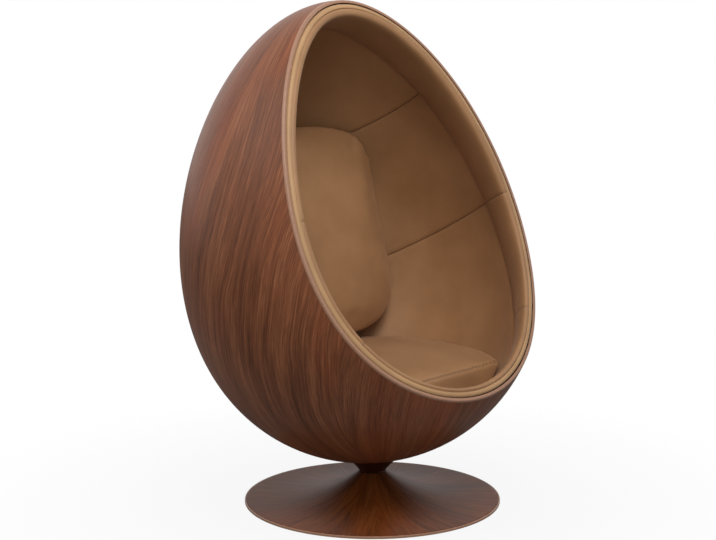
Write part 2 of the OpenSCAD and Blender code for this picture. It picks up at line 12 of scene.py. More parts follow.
import bpy
import numpy as np
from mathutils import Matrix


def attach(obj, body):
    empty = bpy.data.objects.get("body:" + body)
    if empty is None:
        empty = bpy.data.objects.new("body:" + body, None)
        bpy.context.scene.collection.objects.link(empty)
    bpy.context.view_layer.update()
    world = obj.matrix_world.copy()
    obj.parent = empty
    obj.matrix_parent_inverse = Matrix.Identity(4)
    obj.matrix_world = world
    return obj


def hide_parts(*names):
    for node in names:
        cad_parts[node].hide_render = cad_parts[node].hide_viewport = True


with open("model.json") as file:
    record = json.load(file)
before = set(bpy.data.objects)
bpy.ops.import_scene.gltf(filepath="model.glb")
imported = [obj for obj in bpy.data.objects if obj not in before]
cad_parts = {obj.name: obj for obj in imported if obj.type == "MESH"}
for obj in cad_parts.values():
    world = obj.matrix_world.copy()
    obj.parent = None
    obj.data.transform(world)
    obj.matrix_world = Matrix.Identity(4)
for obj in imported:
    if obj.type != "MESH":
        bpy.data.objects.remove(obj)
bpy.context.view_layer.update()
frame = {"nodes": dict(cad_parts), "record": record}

# The shell; its lean is behind the vertical, and its lower pole is ahead of the swivel
OVERALL_H = 1.320
LEAN = math.radians(8.7)
SHELL_R = 0.4718
EGG_SHARE = 0.1325
POLE_FWD = 0.0437
SHELL_LOW_Z = 0.1124
VENEER_T = 0.002
POLE_COS = 0.999999  # the largest cosine of the axis angle that is worked with, just off the poles

# The opening's edge over its leaning plane, in lengths of the shell
OPENING_LEAN = math.radians(21.8)
OFF_SHARE, BOW_SHARE, SWEEP_SHARE = 0.347, -0.0039, -0.0249
MID_SHARE, UNIT_SHARE = 0.6595, 0.412
OPENING_R = 0.46  # about its mean radius, which turns angles round it into lengths
CORE_DEPTH = 0.36  # the rays to the skin start this far behind the opening's middle
SKIN_FAR = 1.3  # farther than any point of the skin lies from there
TURN_FROM, TURN_TO = 0.12, 2.6  # turns off the opening's normal between which the rim lies
BELOW_RIM, ABOVE_RIM = -0.1, 1.39  # places up the opening's plane, outside the shell

# The layers of the rim, as offsets inside the outer skin, and how far they stand out
LIPPING_H, LIPPING_ROUND = 0.006, 0.0022
WALL_O = 0.008
BAND_O = 0.011
ROLL_O = 0.022
FOAM_O = 0.030
INSIDE_O = 0.033
BAND_T, BAND_CROWN, BAND_ROUND = 0.006, 0.002, 0.0045
BAR_REAR_ROUND = 0.0004

# The roll: its height and depth at the bottom and the top of the opening, and its section
ROLL_LOW_T, ROLL_TOP_T = 0.019, 0.034
ROLL_LOW_D, ROLL_TOP_D = 0.078, 0.150
ROLL_CROWN = 0.003
ROLL_FULL, FLANK_FULL = 0.75, 1.2  # powers of the section's sine, in front and behind
ROLL_FLANK = 0.005  # the roll's rear is cut off, and the lining starts, this much earlier
ROLL_STEP, ROLL_CROWD = 0.006, 0.35
ROLL_PULL, PULL_WIDTH = 0.085, 0.0045  # share by which a seam draws it in, and how far along
PULL_IN_DEPTH = 0.35
ROLL_SLACK, ROLL_PUCKER, SLACK_START = 0.012, 0.010, 0.004  # waves as shares, and their start
FACE_GAP = 0.0003

# The lining: its seams as shares of the shell's length, and the dip and fill of its leather
SEAM_LOW_SHARE, SEAM_HIGH_SHARE = 0.518, 0.8355
SEAM_SLOPE = math.tan(math.radians(29))
SEAM_HIGH_A, SEAM_LOW_A = -3, -46  # degrees round the opening, where they cross the roll
DECK_TOP = 0.245
LINER_GAP = 0.0004
PANEL_FILL, FILL_WIDTH = 0.0028, 0.02
PANEL_DIP, DIP_WIDTH = 0.0022, 0.0060
PANEL_SINK, PANEL_CROWD = 0.005, 0.62
LEVEL_FAR = 0.9  # farther than the skin lies from the middle of any level
FAR_FROM_SEAM = 1.0
ON_SEAM = 0.00002  # the least distance to a seam that is stored, as zero means no seam

# The seat cushion
SEAT_LOW, SEAT_Z, SEAT_CROWN = 0.248, 0.371, 0.015
SEAT_FRONT, SEAT_REAR, SEAT_HALF_W = 0.223, 0.330, 0.366
SEAT_MID_Y, SEAT_HALF_L = (SEAT_REAR - SEAT_FRONT) / 2, (SEAT_REAR + SEAT_FRONT) / 2
SEAT_CORNER = 9  # power of the plan's rounded rectangle
SEAT_DRAW = -0.005  # the boxing is drawn in by this, so it bulges
SEAT_EDGE_LIFT, SEAT_FOOT_LIFT = 0.004, 0.001

# The back cushion
BACK_Y = SHELL_R * 0.394
BACK_W = SHELL_R * 0.708
BACK_H_SHARE = 0.5045
BACK_LEAN = math.radians(14.1)
BACK_TAPER, BACK_WRAP, BACK_CROWN, BACK_EDGE, BACK_T = 0.04, 0.030, 0.012, 0.040, 0.165
BACK_CORNER, BACK_ROUND = 4.2, 6  # powers of the outline and of the swelling
BACK_SEAM_SHARE, BACK_LIFT = 0.45, 0.0025
BACK_THIN, BACK_BEND, BACK_SOFT = 0.030, 0.080, 0.020  # least thickness, most bend, its ease

# Both cushions: room to the lining, the mesh of their covers, and what the air may do
CUSHION_GAP, HOLD_GAP = 0.005, 0.0035
HOLD_LOW, HOLD_OVER = 0.0005, 0.001
COVER_MESH = 0.0066
AIR_PRESSURE, AIR_FRAMES, AIR_CAP = 4.0, 20, 0.006
COVER_DIP, COVER_DIP_WIDTH = 0.0022, 0.0042
STITCH_SHARE, STITCH_WIDTH = 0.75, 0.0006  # a cover's seam lies this much nearer in its material
SEAM_NEAR = 0.016
POINTS_AT_ONCE = 4000

# The base and the neck
BASE_R = 0.340
PLATE_Z, TRUMPET_Z, BASE_EDGE_Z = 0.002, 0.007, 0.0085
BASE_EDGE_T, BASE_EDGE_ROUND = 0.003, 0.0013
WAIST_Z, WAIST_R, FLARE = 0.082, 0.0355, 3
WAIST_IN_R, BORE_R, FLANGE_BORE_R, FLANGE_TOP_Z = 0.034, 0.026, 0.073, 0.014
BORE_CHAMFER = 0.002
NECK_Z = 0.084
NECK_R, NECK_BOW = 0.061, 1.15
NECK_BORE_TOP, NECK_BORE_LOW, NECK_BORE_DROP = 0.8, 0.66, 0.003

# The photograph's camera, in its pixels, degrees and metres
PHOTO_W, FOCAL_PX, SHIFT_PX = 716, 1721.5, (-14.4, -10.6)
SENSOR_MM = 36
VIEW_TURN, VIEW_LIFT, VIEW_AWAY = math.radians(-47.7), math.radians(9.17), 4.5
VIEW_TARGET = (0, 0, 0.65)


def bisect(test, low, high, steps=30):
    """Halves [low, high] as whole arrays, towards where test turns from false to true."""
    low, high = np.array(low, float), np.array(high, float)
    for _ in range(steps):
        mid = (low + high) / 2
        beyond = test(mid)
        high = np.where(beyond, mid, high)
        low = np.where(beyond, low, mid)
    return (low + high) / 2


def around(count):
    """Angles once round, evenly, without the last one that would meet the first."""
    return np.linspace(0, 2 * np.pi, count, endpoint=False)


def egg_radius(c):
    """Radius of the egg where its axis angle has cosine c: R times sine times (1 + share c)."""
    return SHELL_R * np.sqrt(np.clip(1 - c * c, 0, None)) * (1 + EGG_SHARE * c)


def radius_growth(c):
    """How the egg's radius grows with its axis angle: R times (c + share (2 c^2 - 1))."""
    return SHELL_R * (c + EGG_SHARE * (2 * c * c - 1))


def lean_span(length):
    """Height from the lowest to the highest point of a leaning egg of that length, and its top."""
    a = np.radians(np.arange(181))
    up = length / 2 * (1 - np.cos(a)) * math.cos(LEAN)
    out = egg_radius(np.cos(a)) * math.sin(LEAN)
    return (up + out).max() - (up - out)[:91].min(), (up + out).max()


SHELL_LEN = float(bisect(lambda m: lean_span(float(m))[0] > OVERALL_H - SHELL_LOW_Z, 0.5, 2.0))
LOW_POLE_Z = OVERALL_H - lean_span(SHELL_LEN)[1]
SEAM_LOW_Z = SHELL_LOW_Z + SHELL_LEN * SEAM_LOW_SHARE
SEAM_HIGH_Z = SHELL_LOW_Z + SHELL_LEN * SEAM_HIGH_SHARE


def on_axis(p):
    """Distance from the egg's axis, its part along Y, and the cosine of the axis angle."""
    y, z = p[..., 1] + POLE_FWD, p[..., 2] - LOW_POLE_Z
    across = y * math.cos(LEAN) - z * math.sin(LEAN)
    along = y * math.sin(LEAN) + z * math.cos(LEAN)
    return np.hypot(p[..., 0], across), across, 1 - 2 * along / SHELL_LEN


def inside_by(p):
    """How far p lies inside the outer skin: the gap to the egg's radius over its slope."""
    w, _, c = on_axis(p)
    past = np.abs(c) >= 1
    c = np.clip(c, -POLE_COS, POLE_COS)
    s = np.sqrt(1 - c * c)
    slope = radius_growth(c) / (SHELL_LEN / 2 * s)
    return np.where(past, -1.0, (egg_radius(c) - w) / np.hypot(1, slope))


def normal(p):
    """Outward normal of the egg at p: the profile's normal turned to p's side of the axis."""
    w, across, c = on_axis(p)
    c = np.clip(c, -POLE_COS, POLE_COS)
    s = np.sqrt(1 - c * c)
    du, dr = SHELL_LEN / 2 * s, radius_growth(c)
    m = np.hypot(du, dr)
    w = np.maximum(w, 1e-9)
    out, up = du / m, -dr / m
    y = out * across / w
    return np.stack([out * p[..., 0] / w, y * math.cos(LEAN) + up * math.sin(LEAN),
                     up * math.cos(LEAN) - y * math.sin(LEAN)], -1)


def place(x, s, n):
    """World point at x, s up the opening's plane and n out along its normal."""
    sin, cos = math.sin(OPENING_LEAN), math.cos(OPENING_LEAN)
    return np.stack(np.broadcast_arrays(x, s * sin - n * cos, s * cos + n * sin), -1)


def rise(p):
    """How far p lies up the opening's plane."""
    return p[..., 1] * math.sin(OPENING_LEAN) + p[..., 2] * math.cos(OPENING_LEAN)


def cut_at(s):
    """The opening's edge along its normal at s: off + bow v^2 + sweep v^3."""
    v = (s / SHELL_LEN - MID_SHARE) / UNIT_SHARE
    return SHELL_LEN * (OFF_SHARE + BOW_SHARE * v ** 2 + SWEEP_SHARE * v ** 3)


def lag(p):
    """How far p lies behind the opening's curved face."""
    return cut_at(rise(p)) + p[..., 1] * math.cos(OPENING_LEAN) - p[..., 2] * math.sin(OPENING_LEAN)


def rim_crossing(far):
    """Where the opening's edge crosses the middle plane, searched from its middle to far."""
    def outside(s):
        return inside_by(place(0 * s, s, cut_at(s))) < 0
    return float(bisect(outside, SHELL_LEN * MID_SHARE, far))


RIM_LOW_S, RIM_TOP_S = rim_crossing(BELOW_RIM), rim_crossing(ABOVE_RIM)
RIM_MID_S = (RIM_LOW_S + RIM_TOP_S) / 2
CORE = place(0.0, RIM_MID_S, cut_at(RIM_MID_S) - CORE_DEPTH)


def up_rim(s, low, top):
    """A value that grows evenly from the bottom of the opening to its top."""
    return low + (top - low) * (s - RIM_LOW_S) / (RIM_TOP_S - RIM_LOW_S)


def roll_depth(s):
    """Depth of the roll's rear edge behind the opening's face, s up the opening's plane."""
    return up_rim(s, ROLL_LOW_D, ROLL_TOP_D)


def skin(t, turn):
    """Point of the outer skin on the ray from the core: t round the opening, turn away from it."""
    t, turn = np.broadcast_arrays(t, turn)
    ray = place(np.sin(turn) * np.cos(t), np.sin(turn) * np.sin(t), np.cos(turn))
    far = bisect(lambda m: inside_by(CORE + m[..., None] * ray) < 0, 0 * t, 0 * t + SKIN_FAR)
    return CORE + far[..., None] * ray


def inset(t, turn, o):
    """Point o inside the skin along its normal."""
    p = skin(t, turn)
    return p - np.asarray(o)[..., None] * normal(p)


def rim_turn(t, depth, o):
    """The turn at which the surface o inside the skin lies depth behind the opening's face."""
    t, depth, o = np.broadcast_arrays(t, depth, o)
    return bisect(lambda m: lag(inset(t, m, o)) > depth, 0 * t + TURN_FROM, 0 * t + TURN_TO, 24)


def rim_point(t, depth, o):
    """Point t round the opening, depth behind its face and o inside the skin."""
    return inset(t, rim_turn(t, depth, o), o)


# Meshes

def ends_clustered(n, share):
    """n + 1 values from 0 to 1: even ones blended by share with ones that crowd at both ends."""
    x = np.linspace(0, 1, n + 1)
    return x * (1 - share) + share * (1 - np.cos(np.pi * x)) / 2


def quads(rows, cols, base=0, wrap_rows=False, wrap_cols=False):
    """Corner numbers of the faces of a grid of points, rows by cols."""
    i, j = np.meshgrid(np.arange(rows - 1 + wrap_rows), np.arange(cols - 1 + wrap_cols), indexing="ij")
    a = i * cols + j
    b = i * cols + (j + 1) % cols
    c = (i + 1) % rows * cols + (j + 1) % cols
    d = (i + 1) % rows * cols + j
    return base + np.stack([a, b, c, d], -1).reshape(-1, 4)


def fan(ring, hub):
    """Triangles from a closed ring of corners to a hub."""
    return np.stack([ring, np.roll(ring, -1), np.full(len(ring), hub)], -1)


def hoop(points):
    """Faces of a profile carried all the way round."""
    return [quads(points.shape[0], points.shape[1], wrap_rows=True, wrap_cols=True)]


def close_rings(rings):
    """Points and faces of a stack of rings, closed by a hub at each end."""
    rows, cols = rings.shape[:2]
    hubs = rows * cols
    ring = np.arange(cols)
    points = np.concatenate([rings.reshape(-1, 3), rings[0].mean(0)[None], rings[-1].mean(0)[None]])
    return points, [quads(rows, cols, wrap_cols=True), fan(ring, hubs)[:, ::-1],
                    fan(hubs - cols + ring, hubs + 1)]


def slab(front, rear, close_cols=False):
    """Points and faces of a thin wall between two sheets of points, edges stitched."""
    rows, cols = front.shape[:2]
    count = rows * cols
    n = np.arange(count).reshape(rows, cols)
    faces = [quads(rows, cols, wrap_cols=close_cols),
             quads(rows, cols, count, wrap_cols=close_cols)[:, ::-1]]
    if close_cols:
        edges = [np.append(n[0], n[0, 0]), np.append(n[-1], n[-1, 0])[::-1]]
    else:
        edges = [np.concatenate([n[0], n[1:, -1], n[-1, -2::-1], n[-2::-1, 0]])]
    for e in edges:
        faces.append(np.stack([e[1:], e[:-1], e[:-1] + count, e[1:] + count], -1))
    return np.concatenate([front.reshape(-1, 3), rear.reshape(-1, 3)]), faces


def put_values(mesh, key, values):
    """A named number on each point of a mesh, which its material reads."""
    layer = mesh.attributes.new(key, "FLOAT", "POINT")
    layer.data.foreach_set("value", np.asarray(values, np.float32).ravel())


def read_normals(mesh):
    """The normals at the points of a mesh."""
    normals = np.empty(len(mesh.vertices) * 3, np.float32)
    mesh.vertices.foreach_get("normal", normals)
    return normals.reshape(-1, 3)


def show(name, data):
    """An object of its own for a camera, a lamp or a mesh, in the scene."""
    obj = bpy.data.objects.new(name, data)
    bpy.context.scene.collection.objects.link(obj)
    return obj


def make(name, points, faces, body, material, stands_for, seam=None):
    """One closed piece: its corners, its faces turned outwards by the sign of its volume.

    The volume is the sum of corner a times the cross product of b and c over all triangles.
    """
    points = np.asarray(points, float).reshape(-1, 3)
    tris = np.concatenate([np.concatenate([f[:, [0, k, k + 1]] for k in range(1, f.shape[1] - 1)])
                           for f in faces])
    a, b, c = (points[tris[:, k]] for k in range(3))
    if np.einsum("ij,ij->", a, np.cross(b, c)) < 0:
        faces = [f[:, ::-1] for f in faces]
    mesh = bpy.data.meshes.new(name)
    mesh.from_pydata(points, [], [f for group in faces for f in group.tolist()])
    mesh.polygons.foreach_set("use_smooth", np.ones(len(mesh.polygons), bool))
    if seam is not None:
        put_values(mesh, "seam", seam)
    mesh.update()
    mesh.materials.append(material)
    obj = show(name, mesh)
    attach(obj, body)
    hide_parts(*stands_for)
    return obj


# Materials

class Wiring:
    """Short ways to add nodes to a tree. A value is a number, a colour, or a socket to link."""

    def __init__(self, tree):
        self.tree = tree

    def add(self, kind, inputs=None, **props):
        made = self.tree.nodes.new("ShaderNode" + kind)
        for key, value in props.items():
            setattr(made, key, value)
        for key, value in (inputs or {}).items():
            if isinstance(value, bpy.types.NodeSocket):
                self.link(value, made.inputs[key])
            else:
                made.inputs[key].default_value = value
        return made

    def link(self, source, target):
        self.tree.links.new(source, target)

    def math(self, operation, a, b=0.0, clamp=False):
        return self.add("Math", {0: a, 1: b}, operation=operation, use_clamp=clamp).outputs[0]

    def plus(self, total, *others):
        for value in others:
            total = self.math("ADD", total, value)
        return total

    def times(self, total, *others):
        for value in others:
            total = self.math("MULTIPLY", total, value)
        return total

    def minus(self, a, b, clamp=False):
        return self.math("SUBTRACT", a, b, clamp)

    def past(self, a, b, gain):
        """0 up to where a is as large as b, then growing by gain, to 1 at most."""
        return self.math("MULTIPLY", self.minus(a, b, True), gain, True)

    def close_to(self, gap, width):
        """1 where the gap is nothing, falling evenly to 0 where it is as wide as width."""
        return self.minus(1.0, self.math("DIVIDE", gap, width), True)

    def place_on_object(self):
        return self.add("TexCoord").outputs["Object"]

    def length(self, vector):
        return self.add("VectorMath", {0: vector}, operation="LENGTH").outputs["Value"]

    def vector(self, x, y, z=0.0):
        return self.add("CombineXYZ", {0: x, 1: y, 2: z}).outputs[0]

    def noise(self, at, scale, detail=2.0, rough=0.5):
        return self.add("TexNoise", {"Vector": at, "Scale": scale, "Detail": detail,
                                     "Roughness": rough}).outputs[0]

    def cells(self, at, scale):
        """Distance to the nearest edge between cells."""
        return self.add("TexVoronoi", {"Vector": at, "Scale": scale},
                        feature="DISTANCE_TO_EDGE").outputs[0]

    def mix(self, share, a, b, blend="MIX"):
        return self.add("Mix", {0: share, 6: a, 7: b}, data_type="RGBA", blend_type=blend).outputs[2]

    def shaded(self, colour, light):
        """A colour times a grey light."""
        grey = self.add("CombineColor", {0: light, 1: light, 2: light}).outputs[0]
        return self.mix(1.0, colour, grey, "MULTIPLY")

    def ramp(self, value, *stops):
        made = self.add("ValToRGB", {0: value})
        marks = made.color_ramp.elements
        while len(marks) < len(stops):
            marks.new(0.5)
        for mark, (at, colour) in zip(marks, stops):
            mark.position, mark.color = at, colour
        return made.outputs[0]

    def bump(self, height, strength, distance):
        return self.add("Bump", {"Height": height, "Strength": strength, "Distance": distance}).outputs[0]


def srgb(r, g, b):
    """A colour as read on a screen, 0 to 255, in the linear values that a shader takes."""
    v = np.array([r, g, b]) / 255
    return tuple(np.where(v <= 0.04045, v / 12.92, ((v + 0.055) / 1.055) ** 2.4)) + (1.0,)


def new_material(name, **settings):
    """A named material with the given values on its Principled shader's own sockets."""
    made = bpy.data.materials.new(name)
    made.use_nodes = True
    shader = made.node_tree.nodes["Principled BSDF"]
    for key, value in settings.items():
        shader.inputs[key.replace("_", " ")].default_value = value
    return made, Wiring(made.node_tree), shader


def leaf_places(wires, origin, lean, leaves, start, radial, twist):
    """Where a point lies on the leaves of veneer laid side by side round an axis.

    The angle round the axis, less the start and less a twist that swings with the sine of the
    height, is counted in leaves: the whole part picks the leaf and the rest is the share across
    it. The arc from the leaf's middle is the place across the grain, and the radius or the height
    is the place along it. Also gives the leaf's own lot and the gap to the leaf's edge.
    """
    swing, mid_height, narrowing = 2.6, 0.6, 0.3
    at = wires.add("Mapping", {"Vector": wires.place_on_object(), "Location": origin,
                               "Rotation": (lean, 0, 0)}, vector_type="TEXTURE").outputs[0]
    x, y, z = wires.add("SeparateXYZ", {0: at}).outputs
    radius = wires.length(wires.vector(x, y))
    step = 2 * math.pi / leaves
    bend = wires.math("SINE", wires.times(wires.minus(z, mid_height), swing))
    turn = wires.plus(wires.times(bend, twist), math.radians(start))
    count = wires.math("DIVIDE", wires.minus(wires.math("ARCTAN2", y, x), turn), step)
    leaf = wires.math("FLOORED_MODULO", wires.math("FLOOR", count), leaves)
    off = wires.minus(wires.math("FRACT", count), 0.5)
    width = radius if radial else wires.plus(wires.times(radius, narrowing), narrowing)
    across = wires.times(off, step, width)
    from_middle = wires.times(wires.math("ABSOLUTE", off), step, radius)
    to_edge = wires.minus(wires.times(radius, step / 2), from_middle)
    return across, radius if radial else z, wires.times(leaf, 3.7), to_edge


def veneer(name, origin, lean, leaves, start, radial, tones, shine, twist=0.0):
    """Walnut veneer: noise stretched along the grain, from broad figure to fine pores.

    The place across the grain is swayed by slow noise. Figure, bands and streaks add up to the
    tone between dark and light; warm patches, short flecks with fibres, light lines, dark pores,
    a tone of each leaf's own and a thin dark joint between leaves follow on top.
    """
    made, wires, shader = new_material(name, Roughness=0.42, Specular_IOR_Level=shine)
    across, along, lot, to_edge = leaf_places(wires, origin, lean, leaves, start, radial, twist)

    def grain(side, across_scale, along_scale, **detail):
        at = wires.vector(wires.times(side, across_scale), wires.times(along, along_scale), lot)
        return wires.noise(at, 1.0, **detail)

    sway = wires.times(wires.minus(grain(across, 3.0, 2.2), 0.5), 0.07)
    side = wires.plus(across, sway)
    figure = grain(side, 17, 1.7, detail=3.0, rough=0.6)
    bands = grain(side, 85, 3.0, detail=4.0, rough=0.7)
    streaks = grain(side, 310, 8.0, detail=3.0, rough=0.7)
    lights = grain(side, 170, 3.0, rough=0.6)
    short = grain(side, 430, 20.0, detail=3.0, rough=0.7)
    fibres = grain(side, 800, 14.0, detail=3.0, rough=0.65)
    pores = wires.past(0.42, grain(side, 1300, 26.0, detail=1.0), 4.0)
    patches = wires.past(grain(side, 6, 2.0), 0.53, 3.0)
    own_tone = wires.add("TexWhiteNoise", {"W": lot}, noise_dimensions="1D").outputs[0]

    dark, middle, light, warm = tones
    mixed = wires.plus(wires.times(figure, 0.3), wires.times(bands, 0.34), wires.times(streaks, 0.36))
    colour = wires.ramp(mixed, (0.34, dark), (0.5, middle), (0.66, light))
    colour = wires.mix(patches, colour, warm)
    colour = wires.shaded(colour, wires.plus(wires.times(short, 1.5), wires.times(fibres, 0.5)))
    colour = wires.mix(wires.times(wires.past(lights, 0.6, 6.0), 0.45), colour, light)
    colour = wires.mix(wires.times(pores, 0.55), colour, dark)
    colour = wires.shaded(colour, wires.plus(wires.times(own_tone, 0.2), 0.9))
    colour = wires.mix(wires.times(wires.close_to(to_edge, 0.0006), 0.35), colour, dark)
    wires.link(colour, shader.inputs["Base Color"])
    wires.link(wires.plus(wires.times(fibres, 0.16), 0.33), shader.inputs["Roughness"])
    height = wires.minus(fibres, wires.times(pores, 0.6))
    wires.link(wires.bump(height, 0.16, 0.0005), shader.inputs["Normal"])
    return made


def leather(name, tone, shade):
    """Tan leather: slow cloudy tone, pebbled grain from two sizes of cell, and painted shade along the
    seams.

    The attribute seam is the distance to the nearest seam in metres. It is zero, and left out, on
    the pieces that have none. The painted shade of the seam grows with the square of its nearness.
    """
    made, wires, shader = new_material(name, Roughness=0.5, Specular_IOR_Level=0.38,
                                       Sheen_Weight=0.08, Sheen_Roughness=0.5)
    seam_shade, seam_width = srgb(72, 45, 24), 0.004
    at = wires.place_on_object()
    cloud = wires.noise(at, 6.0, 3.0, 0.6)
    fleck = wires.noise(at, 420.0)
    colour = wires.ramp(cloud, (0.3, shade), (0.68, tone))
    colour = wires.shaded(colour, wires.plus(wires.times(fleck, 0.16), 0.92))
    seam = wires.add("Attribute", attribute_name="seam").outputs["Fac"]
    near = wires.close_to(seam, seam_width)
    near = wires.times(near, near, wires.math("GREATER_THAN", seam, ON_SEAM / 2))
    # painted shade: the leather darkens towards the seam's line, as shade in the seam's groove
    colour = wires.mix(wires.times(near, 0.6), colour, seam_shade)
    wires.link(colour, shader.inputs["Base Color"])
    wires.link(wires.plus(wires.times(cloud, 0.14), 0.43), shader.inputs["Roughness"])
    grain = wires.plus(wires.math("MINIMUM", wires.cells(at, 620.0), 0.25),
                       wires.times(wires.cells(at, 1250.0), 0.4))
    height = wires.minus(grain, wires.times(near, 1.2))
    wires.link(wires.bump(height, 0.35, 0.0006), shader.inputs["Normal"])
    return made


def plain(name, colour, rough, grain_scale, spread=0.12, **settings):
    """A quiet material for edges and hidden parts: speckled tone and a fine bump."""
    made, wires, shader = new_material(name, Roughness=rough, **settings)
    fleck = wires.noise(wires.place_on_object(), grain_scale, 3.0, 0.6)
    light = wires.plus(wires.times(fleck, 2 * spread), 1 - spread)
    wires.link(wires.shaded(colour, light), shader.inputs["Base Color"])
    wires.link(wires.bump(fleck, 0.15, 0.0004), shader.inputs["Normal"])
    return made


WALNUT_TONES = srgb(72, 37, 20), srgb(124, 73, 46), srgb(160, 103, 70), srgb(150, 72, 38)
BASE_TONES = srgb(56, 25, 9), srgb(100, 51, 21), srgb(130, 76, 37), srgb(138, 62, 18)
# The neck's tones are the base's darkened to about 0.6: painted shade of the shell above the neck.
NECK_PAINTED_SHADE_TONES = srgb(32, 14, 7), srgb(60, 29, 14), srgb(84, 46, 24), srgb(78, 34, 13)
AT_SWIVEL, AT_LOW_POLE = (0, 0, 0), (0, -POLE_FWD, LOW_POLE_Z)
shell_wood = veneer("walnut_veneer", AT_LOW_POLE, -LEAN, 6, 45, False, WALNUT_TONES, 0.24, twist=0.32)
base_wood = veneer("walnut_base", AT_SWIVEL, 0, 16, 0, True, BASE_TONES, 0.09)
# the neck's walnut in those darkened tones, which paint the shade under the shell
neck_wood_painted_shade = veneer("walnut_neck_painted_shade", AT_SWIVEL, 0, 8, 0, False, NECK_PAINTED_SHADE_TONES, 0.12)
# The edge wood is lighter than the veneer as solid walnut, and lighter still as a painted highlight along
# the edge.
edge_wood_with_painted_highlight = plain("walnut_edge", srgb(164, 122, 97), 0.4, 90.0, 0.16, Specular_IOR_Level=0.4)
tan = leather("tan_leather", srgb(170, 126, 86), srgb(153, 111, 73))
# A lighter copy of the tan leather for the band: painted highlight along the proud band.
tan_band_painted_highlight = leather("tan_leather_band_painted_highlight", srgb(192, 151, 107), srgb(174, 134, 93))
# Near-black ply for the rim frame, seen only down the groove: painted shade of the groove.
groove_shade_ply = plain("ply_painted_groove_shade", srgb(26, 15, 9), 0.8, 120.0, Specular_IOR_Level=0.1)
BY_SLOT = {
    "walnut_veneer": neck_wood_painted_shade,
    "walnut_edge": edge_wood_with_painted_highlight,
    "tan_leather": tan,
    "plywood": plain("birch_ply", srgb(196, 170, 128), 0.65, 60.0),
    "foam": plain("foam", srgb(52, 48, 46), 0.9, 400.0),
    "steel": plain("steel", srgb(176, 178, 180), 0.35, 300.0, 0.06, Metallic=1.0),
    "bronze": plain("bronze", srgb(178, 140, 86), 0.4, 300.0, 0.08, Metallic=1.0),
    "nylon": plain("nylon", srgb(222, 222, 214), 0.5, 200.0, 0.05),
    "felt": plain("felt", srgb(34, 33, 32), 0.95, 900.0, 0.3),
}
for subpart in frame["record"]["subparts"]:
    carried = frame["nodes"][subpart["node"]].data.materials
    carried.clear()
    # the rim frame takes the near-black ply, which paints the shade in the groove
    carried.append(groove_shade_ply if subpart["node"] == "rim_frame" else BY_SLOT[subpart["material_slot"]])


# Camera, floor and light

def aim(obj, position, target):
    """Puts a camera or a lamp at position and turns it to look at target."""
    back = np.array(position, float) - np.array(target, float)
    obj.location = position
    obj.rotation_euler = (math.atan2(math.hypot(back[0], back[1]), back[2]), 0,
                          math.atan2(back[0], -back[1]))


def add_camera():
    """The photograph's camera: turned 48 degrees to the sitter's right, 9 degrees above level."""
    view = bpy.data.cameras.new("camera")
    view.sensor_width = SENSOR_MM
    view.lens = FOCAL_PX * SENSOR_MM / PHOTO_W
    view.shift_x, view.shift_y = (px / PHOTO_W for px in SHIFT_PX)
    back = np.array([math.sin(VIEW_TURN) * math.cos(VIEW_LIFT), -math.cos(VIEW_TURN) * math.cos(VIEW_LIFT),
                     math.sin(VIEW_LIFT)])
    cam = show("camera", view)
    aim(cam, np.array(VIEW_TARGET) + VIEW_AWAY * back, VIEW_TARGET)
    bpy.context.scene.camera = cam


def add_lamp(name, position, target, size, power):
    lamp = bpy.data.lights.new(name, "AREA")
    lamp.shape, lamp.size, lamp.energy = "DISK", size, power
    aim(show(name, lamp), position, target)


def add_floor():
    """A grey floor under the lamps that the camera sees as white, growing whiter away from the chair."""
    half, fade, white_near = 30, 0.1, 0.88
    floor = bpy.data.meshes.new("floor")
    floor.from_pydata([(-half, -half, 0), (half, -half, 0), (half, half, 0), (-half, half, 0)], [],
                      [(0, 1, 2, 3)])
    made, wires, shader = new_material("floor", Roughness=0.9, Specular_IOR_Level=0.1)
    shader.inputs["Base Color"].default_value = (0.3, 0.3, 0.3, 1)
    glow = wires.add("Emission", {"Color": (1, 1, 1, 1), "Strength": 1.0}).outputs[0]
    away = wires.length(wires.place_on_object())
    share = wires.math("ADD", wires.times(away, fade), white_near, True)
    share = wires.times(wires.add("LightPath").outputs["Is Camera Ray"], share)
    both = wires.add("MixShader", {0: share, 1: shader.outputs[0], 2: glow}).outputs[0]
    wires.link(both, made.node_tree.nodes["Material Output"].inputs[0])
    floor.materials.append(made)
    show("floor", floor)


def add_world():
    """White where the camera, a mirror or glass looks, and dimmer as the light on things."""
    light = 0.31
    world = bpy.data.worlds.new("studio")
    bpy.context.scene.world = world
    world.use_nodes = True
    wires = Wiring(world.node_tree)
    path = wires.add("LightPath").outputs
    mirrored = wires.math("MAXIMUM", path["Is Glossy Ray"], path["Is Transmission Ray"])
    seen = wires.math("MAXIMUM", path["Is Camera Ray"], mirrored)
    sky = world.node_tree.nodes["Background"]
    wires.link(wires.plus(wires.times(seen, 1 - light), light), sky.inputs["Strength"])
    sky.inputs["Color"].default_value = (1, 1, 1, 1)
    bpy.context.scene.view_settings.view_transform = "Standard"


add_camera()
add_floor()
add_world()
add_lamp("key", (-1.1, -2.0, 4.0), (0, 0, 0.5), 2.0, 90)
add_lamp("front", (-2.6, -2.8, 2.9), (0, 0, 0.5), 2.2, 26)
add_lamp("side", (-2.4, 1.6, 3.2), (0, 0, 0.9), 2.4, 28)


# The shell

